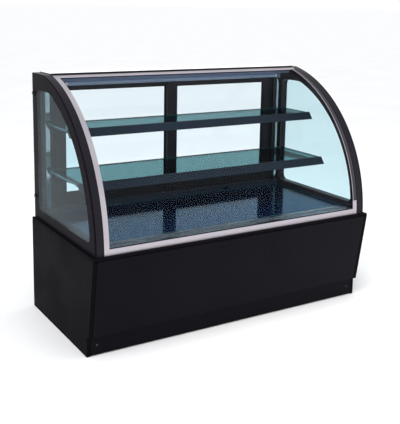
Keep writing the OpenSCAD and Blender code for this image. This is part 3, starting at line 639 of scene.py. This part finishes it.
def add_plate(bm, x, y, z, corner):
    """Level plate with round corners."""
    add_prism(bm, [round_rectangle(x, y, corner)], 2, z[0], z[1])


def build_shelf_glass():
    for name in ("shelf_lower_glass", "shelf_upper_glass"):
        low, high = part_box(name)
        bm = bmesh.new()
        add_plate(bm, (low.x, high.x), (low.y, high.y), (low.z, high.z), 4 * MM)
        add_piece(name.replace("glass", "pane"), bm, "glass_shelf", bevel=1.2, replaces=(name,))


DECK_GLASS_T = 5 * MM
DECK_LIP = 6 * MM
DECK_RIM = 3 * MM


def build_deck():
    """Steel tray with a raised rim, and the glass plate that lies in it."""
    tray = bmesh.new()
    x = (deck_low.x, deck_high.x)
    y = (deck_low.y, deck_high.y)
    bed = deck_high.z - DECK_GLASS_T
    add_box(tray, x, y, (bed - 2 * MM, bed))
    inner_x = (x[0] + DECK_RIM, x[1] - DECK_RIM)
    inner_y = (y[0] + DECK_RIM, y[1] - DECK_RIM)
    outline = rectangle(x, y)
    opening = rectangle(inner_x, inner_y)
    add_prism(tray, [outline, opening], 2, deck_low.z, deck_high.z - 1 * MM)
    add_piece("deck_tray", tray, "deck_steel", bevel=0.6, replaces=("deck_panel",))
    plate = bmesh.new()
    plate_x = (x[0] + DECK_LIP, x[1] - DECK_LIP)
    plate_y = (y[0] + DECK_LIP, y[1] - DECK_LIP)
    add_plate(plate, plate_x, plate_y, (bed + 0.2 * MM, deck_high.z), 6 * MM)
    add_piece("deck_pane", plate, "glass_shelf", bevel=1.0, material=DECK_GLASS, replaces=("deck_panel",))


HOLE_PITCH = 11 * MM
HOLE_R = 3.6 * MM
HOLE_STEPS = 12
SHEET_T = 1.5 * MM


def add_perforated(bm, x, y, z):
    """Perforated sheet: a square cell with a round hole, repeated over the ranges x and y at height z."""
    columns = int((x[1] - x[0]) / HOLE_PITCH)
    rows = int((y[1] - y[0]) / HOLE_PITCH)
    start_x = (x[0] + x[1] - columns * HOLE_PITCH) / 2
    start_y = (y[0] + y[1] - rows * HOLE_PITCH) / 2
    half = HOLE_PITCH / 2
    quarter = HOLE_STEPS // 4
    corners = ((half, half), (-half, half), (-half, -half), (half, -half))
    middles = ((half, 0), (0, half), (-half, 0), (0, -half))
    ring = arc((0, 0), HOLE_R, 0, 360, HOLE_STEPS)
    for column in range(columns):
        for row in range(rows):
            centre = (start_x + (column + 0.5) * HOLE_PITCH, start_y + (row + 0.5) * HOLE_PITCH)
            for q in range(4):
                shape = [middles[q], corners[q], middles[(q + 1) % 4]]
                shape += ring[q * quarter:(q + 1) * quarter + 1][::-1]
                bm.faces.new([bm.verts.new((centre[0] + u, centre[1] + v, z)) for u, v in shape])
    bmesh.ops.remove_doubles(bm, verts=bm.verts, dist=0.05 * MM)
    edge_x = (start_x, start_x + columns * HOLE_PITCH)
    edge_y = (start_y, start_y + rows * HOLE_PITCH)
    return edge_x, edge_y


def build_grille():
    """Air grille: perforated sheet in a folded frame."""
    x = (grille_low.x, grille_high.x)
    y = (grille_low.y, grille_high.y)
    margin = 8 * MM
    sheet = bmesh.new()
    inner_x, inner_y = add_perforated(sheet, (x[0] + margin, x[1] - margin), (y[0] + margin, y[1] - margin),
                                      grille_high.z - 0.2 * MM)
    piece = add_piece("grille_sheet", sheet, "stainless", replaces=("air_grille",), material=GRILLE_STEEL)
    thick = piece.modifiers.new("thickness", "SOLIDIFY")
    thick.thickness = SHEET_T
    thick.offset = -1
    rim = bmesh.new()
    outline = rectangle(x, y)
    opening = rectangle(inner_x, inner_y)
    add_prism(rim, [outline, opening], 2, grille_high.z - 3 * MM, grille_high.z)
    wall = 3 * MM
    add_box(rim, x, (y[0], y[0] + wall), (grille_low.z, grille_high.z - 2 * MM))
    add_box(rim, x, (y[1] - wall, y[1]), (grille_low.z, grille_high.z - 2 * MM))
    add_piece("grille_rim", rim, "stainless", bevel=0.6, replaces=("air_grille",), material=GRILLE_STEEL)


GRILLE_STEEL = brushed("grille_steel", (0.2, 0.24, 0.3), (0.2, 0.36), ALONG_X)

SLOT_PITCH = 25 * MM
SLOT_SIZE = (6 * MM, 14 * MM)


def build_uprights():
    """Slotted shelf standards: U channels whose front face carries a column of slots."""
    low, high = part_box("shelf_uprights")
    depth = high.y - low.y
    width = 24 * MM
    count = int((high.z - low.z - SLOT_PITCH) / SLOT_PITCH)
    for name, side in SIDES:
        x = mirrored((high.x - width, high.x), side)
        middle = (x[0] + x[1]) / 2
        face = bmesh.new()
        outline = rectangle(x, (low.z, high.z))
        slots = []
        for i in range(count):
            z = low.z + SLOT_PITCH * (i + 0.75)
            slots.append(round_rectangle((middle - SLOT_SIZE[0] / 2, middle + SLOT_SIZE[0] / 2),
                                         (z, z + SLOT_SIZE[1]), 1.5 * MM, 2))
        add_prism(face, [outline, *slots], 1, low.y, low.y + 2 * MM)
        for wall in ((x[0], x[0] + 2 * MM), (x[1] - 2 * MM, x[1])):
            add_box(face, wall, (low.y + 1 * MM, low.y + depth), (low.z, high.z))
        add_piece("shelf_standard_" + name, face, "galvanised", replaces=("shelf_uprights",),
                  material=MATERIALS["anodised_dark"])


STRIP_X = (0.6655, 0.6915)
STRIP_T = 1.2 * MM
STRIP_CREASE = 3 * MM


def build_post_strips():
    """Polished cover strips on the front faces of the rear posts, folded back at both edges."""
    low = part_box("rear_posts")[0]
    header_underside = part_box("rear_header")[0].z
    for name, side in SIDES:
        x = mirrored(STRIP_X, side)
        face = low.y
        fold = [(x[0], face), (x[0] + STRIP_CREASE, face - STRIP_T), (x[1] - STRIP_CREASE, face - STRIP_T),
                (x[1], face)]
        strip = bmesh.new()
        add_prism(strip, [fold], 2, low.z + STRIP_CREASE, header_underside - STRIP_CREASE)
        add_piece("post_strip_" + name, strip, "stainless", bevel=0.3, material=POLISHED)


build_shelf_glass()
build_deck()
build_grille()
build_uprights()
build_post_strips()

# ---------------------------------------------------------------- canopy light


def build_lamp_ends():
    """Metal end caps of the tube."""
    radius = (tube_high.z - tube_low.z) / 2
    centre_y = (tube_low.y + tube_high.y) / 2
    centre_z = (tube_low.z + tube_high.z) / 2
    for name, side in SIDES:
        end = tube_high.x if side > 0 else tube_low.x
        inward = Vector((-side, 0, 0))
        cap = bmesh.new()
        over = radius + 0.3 * MM
        profile = [(0, 0), (over - 2 * MM, 0), (over, 1.5 * MM), (over, 14 * MM), (over - 0.6 * MM, 15 * MM),
                   (radius - 1 * MM, 15 * MM)]
        add_lathe(cap, profile, Vector((end, centre_y, centre_z)), inward, 32)
        add_piece("lamp_cap_" + name, cap, "anodised_silver")


build_lamp_ends()

# ---------------------------------------------------------------- rear doors

BEAD = 4 * MM
BEAD_SINK = 1.2 * MM
# from the edge of the pane to the outer side of the bead
BEAD_INSET = 5.9 * MM


def build_door_beads():
    """Rubber glazing beads round both faces of each door pane."""
    for name in ("left", "right"):
        frame_low, frame_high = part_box("door_" + name + "_frame")
        pane_a, pane_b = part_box("door_" + name + "_glass")
        x = (pane_a.x + BEAD_INSET, pane_b.x - BEAD_INSET)
        z = (pane_a.z + BEAD_INSET, pane_b.z - BEAD_INSET)
        outline = round_rectangle(x, z, 0.5 * MM, 2)
        opening = round_rectangle((x[0] + BEAD, x[1] - BEAD), (z[0] + BEAD, z[1] - BEAD), 3 * MM, 4)
        beads = bmesh.new()
        add_prism(beads, [outline, opening], 1, frame_low.y + BEAD_SINK, pane_a.y)
        add_prism(beads, [outline, opening], 1, pane_b.y, frame_high.y - BEAD_SINK)
        add_piece("door_beads_" + name, beads, "rubber_black", body="door_" + name, bevel=0.6)


build_door_beads()

# ---------------------------------------------------------------- back of the base

VENTS_X = (-0.380, -0.220, 0.130, 0.290, 0.450)
VENT_LENGTH = 0.140
VENT_H = 8 * MM
VENT_LOW = 0.090
VENT_PITCH = 0.018
VENT_ROWS = 8
HOOD_OUT = 5 * MM


def build_louvres():
    """Pressed hoods over the vent slots of the service panel."""
    face = panel_high.y
    hoods = bmesh.new()
    for start in VENTS_X:
        for row in range(VENT_ROWS):
            z = VENT_LOW + row * VENT_PITCH
            outer = [(face, z + VENT_H + 3 * MM), (face + 0.45 * HOOD_OUT, z + VENT_H + 1.5 * MM),
                     (face + 0.85 * HOOD_OUT, z + 0.6 * VENT_H), (face + HOOD_OUT, z)]
            inner = [(y - 0.9 * MM, height - 0.9 * MM) for y, height in reversed(outer[1:])]
            inner.append((face, z + VENT_H + 1.2 * MM))
            add_prism(hoods, [outer + inner], 0, start, start + VENT_LENGTH)
            for end in (start, start + VENT_LENGTH - 0.8 * MM):
                cheek = [(face, z + VENT_H + 2 * MM), (face, z), (face + HOOD_OUT - 0.8 * MM, z)]
                add_prism(hoods, [cheek], 0, end, end + 0.8 * MM)
    add_piece("vent_hoods", hoods, "cabinet_black")


SCREW_R = 5 * MM
RECESS = 0.9 * MM


def add_screw(bm, at, axis):
    """Pan head with a cross recess, standing on its face with the axis pointing outwards."""
    axis = Vector(axis)
    side = axis.orthogonal().normalized()
    other = axis.cross(side)
    dome = [(SCREW_R, 0), (SCREW_R, 0.9 * MM), (0.86 * SCREW_R, 1.6 * MM), (0.62 * SCREW_R, 2.1 * MM)]
    steps = 24
    rings = []
    for radius, out in dome:
        rings.append([bm.verts.new(at + axis * out + side * radius * cos(2 * pi * i / steps)
                                   + other * radius * sin(2 * pi * i / steps)) for i in range(steps)])
    for lower, upper in zip(rings, rings[1:]):
        for i in range(steps):
            bm.faces.new((lower[i - 1], lower[i], upper[i], upper[i - 1]))
    long, wide = 0.42 * SCREW_R, 0.11 * SCREW_R
    cross = [(long, wide), (wide, wide), (wide, long), (-wide, long), (-wide, wide), (-long, wide),
             (-long, -wide), (-wide, -wide), (-wide, -long), (wide, -long), (wide, -wide), (long, -wide)]
    top_out = dome[-1][1]
    mouth = [bm.verts.new(at + axis * top_out + side * u + other * v) for u, v in cross]
    floor = [bm.verts.new(at + axis * (top_out - RECESS) + side * u + other * v) for u, v in cross]
    edges = [bm.edges.new((mouth[i - 1], mouth[i])) for i in range(len(mouth))]
    edges += [bm.edges.get((rings[-1][i - 1], rings[-1][i])) for i in range(steps)]
    bmesh.ops.triangle_fill(bm, edges=edges, use_beauty=True)
    for i in range(len(mouth)):
        bm.faces.new((mouth[i - 1], mouth[i], floor[i], floor[i - 1]))
    bm.faces.new(floor)
    bm.faces.new(rings[0][::-1])


KICK_SCREW = (0.703, 0.047)
PANEL_SCREW_X = 0.715
PANEL_SCREW_ROWS = (0.055, 0.150, 0.340, 0.425)
TOP_ROW_X = (-0.300, 0, 0.300)


def build_screws():
    kick_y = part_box("kick_plate")[0].y
    screws = bmesh.new()
    for side in (-1, 1):
        add_screw(screws, Vector((side * KICK_SCREW[0], kick_y, KICK_SCREW[1])), (0, -1, 0))
        for z in PANEL_SCREW_ROWS:
            add_screw(screws, Vector((side * PANEL_SCREW_X, panel_high.y, z)), (0, 1, 0))
    for x in TOP_ROW_X:
        add_screw(screws, Vector((x, panel_high.y, PANEL_SCREW_ROWS[-1])), (0, 1, 0))
    add_piece("cross_screws", screws, "stainless", replaces=("panel_screws",), material=SCREW_STEEL)


SCREW_STEEL = brushed("screw_steel", (0.06, 0.06, 0.07), (0.3, 0.5), (1, 1, 1), spread=0.2, depth=0.01)

build_louvres()
build_screws()

# ---------------------------------------------------------------- controls

DIGIT_H = 8 * MM
DIGIT_W = 4.6 * MM
STROKE = 0.9 * MM
# which of the seven strokes each figure lights: top, upper left, upper right, middle, lower left,
# lower right, foot
FIGURES = {"0": "1110111", "4": "0111010"}


def add_figure(bm, figure, x, z, y):
    """Seven-stroke figure on a face that looks along +Y, drawn from its right-hand side."""
    half = DIGIT_H / 2
    level = (-DIGIT_W / 2 + STROKE, DIGIT_W / 2 - STROKE)
    strokes = [(level, (half - STROKE, half)),
               ((DIGIT_W / 2 - STROKE, DIGIT_W / 2), (STROKE * 0.7, half - STROKE * 0.7)),
               ((-DIGIT_W / 2, -DIGIT_W / 2 + STROKE), (STROKE * 0.7, half - STROKE * 0.7)),
               (level, (-STROKE / 2, STROKE / 2)),
               ((DIGIT_W / 2 - STROKE, DIGIT_W / 2), (-half + STROKE * 0.7, -STROKE * 0.7)),
               ((-DIGIT_W / 2, -DIGIT_W / 2 + STROKE), (-half + STROKE * 0.7, -STROKE * 0.7)),
               (level, (-half, -half + STROKE))]
    for lit, (across, up) in zip(FIGURES[figure], strokes):
        if lit == "1":
            outline = round_rectangle((x + across[0], x + across[1]), (z + up[0], z + up[1]), 0.3 * MM, 2)
            add_prism(bm, [outline], 1, y, y + 0.25 * MM)


# the controller's window: half its width, its top and foot below the body's top, and how far it stands out
WINDOW_HALF_W = 26 * MM
WINDOW_TOP = 4 * MM
WINDOW_FOOT = 16 * MM
WINDOW_OUT = 0.8 * MM
FIGURE_STEP = 8 * MM


def build_display():
    """Window of the temperature controller with two lit figures."""
    low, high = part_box("controller_body")
    middle_x = (low.x + high.x) / 2
    window_z = (high.z - WINDOW_FOOT, high.z - WINDOW_TOP)
    window = bmesh.new()
    outline = round_rectangle((middle_x - WINDOW_HALF_W, middle_x + WINDOW_HALF_W), window_z, 1.5 * MM)
    add_prism(window, [outline], 1, high.y - 1 * MM, high.y + WINDOW_OUT)
    add_piece("display_window", window, "plastic_black", bevel=0.3, material=DISPLAY_DARK)
    figures = bmesh.new()
    z = (window_z[0] + window_z[1]) / 2
    for figure, offset in (("0", FIGURE_STEP), ("4", 0.0)):
        add_figure(figures, figure, middle_x + offset, z, high.y + WINDOW_OUT)
    add_piece("display_figures", figures, "diffuser", material=DISPLAY_LIT)


DISPLAY_DARK = coated("display_window", (0.012, 0.006, 0.007), (0.05, 0.12), depth=0.004, coat=1.0)
DISPLAY_LIT = opal("display_figures", (1.0, 0.12, 0.06), 3.0)
MARK_PAINT = coated("white_mark", (0.7, 0.7, 0.7), (0.4, 0.6))


# where the rockers' own axis lies in y and z, and how far they lean at rest
ROCKER_AXIS = (0.3355, 0.213)
ROCKER_LEAN = radians(7)
# the rocker's face dips to its middle: distance from the axis there, and the rise to either end
ROCKER_DIP = 2.5 * MM
ROCKER_RISE = 1.5 * MM
ROCKER_HALF_H = 11.5 * MM
MARK_T = 0.15 * MM
MARK_SINK = 0.05 * MM
BAR_X = (-0.5 * MM, 0.5 * MM)
BAR_Z = (4 * MM, 8 * MM)
RING_CENTRE = (0, -6 * MM)
RING_RADII = (2.1 * MM, 1.4 * MM)
RING_POINTS = 24


def build_rocker_marks():
    """On and off marks, printed raised on each rocker."""
    for name in ("power_rocker", "light_rocker"):
        low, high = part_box(name)
        middle_x = (low.x + high.x) / 2
        marks = bmesh.new()
        add_prism(marks, [round_rectangle(BAR_X, BAR_Z, 0.3 * MM, 2)], 1, 0, MARK_T)
        last = 360 - 360 / RING_POINTS
        ring = [arc(RING_CENTRE, radius, 0, last, RING_POINTS - 1) for radius in RING_RADII]
        add_prism(marks, ring, 1, 0, MARK_T)
        for vertex in marks.verts:
            height = vertex.co.z
            face_out = ROCKER_DIP + abs(height) / ROCKER_HALF_H * ROCKER_RISE - MARK_SINK
            spot = Vector((vertex.co.x, face_out + vertex.co.y, height))
            vertex.co = Matrix.Rotation(-ROCKER_LEAN, 3, "X") @ spot + Vector((middle_x, *ROCKER_AXIS))
        add_piece(name + "_marks", marks, "nylon", body=name, material=MARK_PAINT)


build_display()
build_rocker_marks()

# ---------------------------------------------------------------- floor and light

FLOOR_DROP = 0.4 * MM


def build_floor():
    material, tree = start_material("pale_floor")
    cloud = noise(tree, 1.3, 4)
    tone = blend_colours(tree, span(tree, cloud, 0, 1), (0.86, 0.86, 0.865), (0.89, 0.89, 0.89))
    shader = add_node(tree, "BsdfPrincipled", {
        "Base Color": tone, "Roughness": span(tree, cloud, 0.75, 0.9), "Specular IOR Level": 0.1,
        "Normal": bump(tree, noise(tree, 60, 3), 0.1 * MM),
    })
    output(tree, shader.outputs[0])
    bm = bmesh.new()
    bmesh.ops.create_grid(bm, x_segments=8, y_segments=8, size=FLOOR_SIZE)
    mesh = bpy.data.meshes.new("floor")
    bm.to_mesh(mesh)
    bm.free()
    floor = bpy.data.objects.new("floor", mesh)
    floor.location.z = -FLOOR_DROP
    scene.collection.objects.link(floor)
    mesh.materials.append(material)


def add_light(name, kind, energy, at=(0, 0, 3), towards=(0, 0, 0.6), **settings):
    data = bpy.data.lights.new(name, kind)
    data.energy = energy
    for key, value in settings.items():
        setattr(data, key, value)
    light = bpy.data.objects.new(name, data)
    light.location = at
    light.rotation_euler = (Vector(towards) - Vector(at)).to_track_quat("-Z", "Y").to_euler()
    scene.collection.objects.link(light)
    return light


HORIZON = (1.05, 1.05, 1.05)
ZENITH = (0.55, 0.56, 0.58)


def build_studio():
    world = bpy.data.worlds.new("studio")
    scene.world = world
    world.use_nodes = True
    tree = world.node_tree
    tree.nodes.clear()
    way = add_node(tree, "TexCoord").outputs["Generated"]
    height = add_node(tree, "SeparateXYZ", {"Vector": way}).outputs["Z"]
    tone = blend_colours(tree, span(tree, height, 0, 1, 0.3, 0.6), HORIZON, ZENITH)
    background = add_node(tree, "Background", {"Color": tone, "Strength": 1.0})
    add_node(tree, "OutputWorld", {"Surface": background.outputs[0]})
    add_light("key", "SUN", 1.9, at=(-2.5, -1.5, 4.0), angle=radians(50))
    overhead = add_light("overhead", "AREA", 60, at=(0.2, -0.6, 3.2), towards=(0, 0, 1), size=2.6)
    overhead.visible_glossy = False


build_floor()
build_studio()
scene.view_settings.view_transform = "Standard"
scene.cycles.transparent_max_bounces = 32
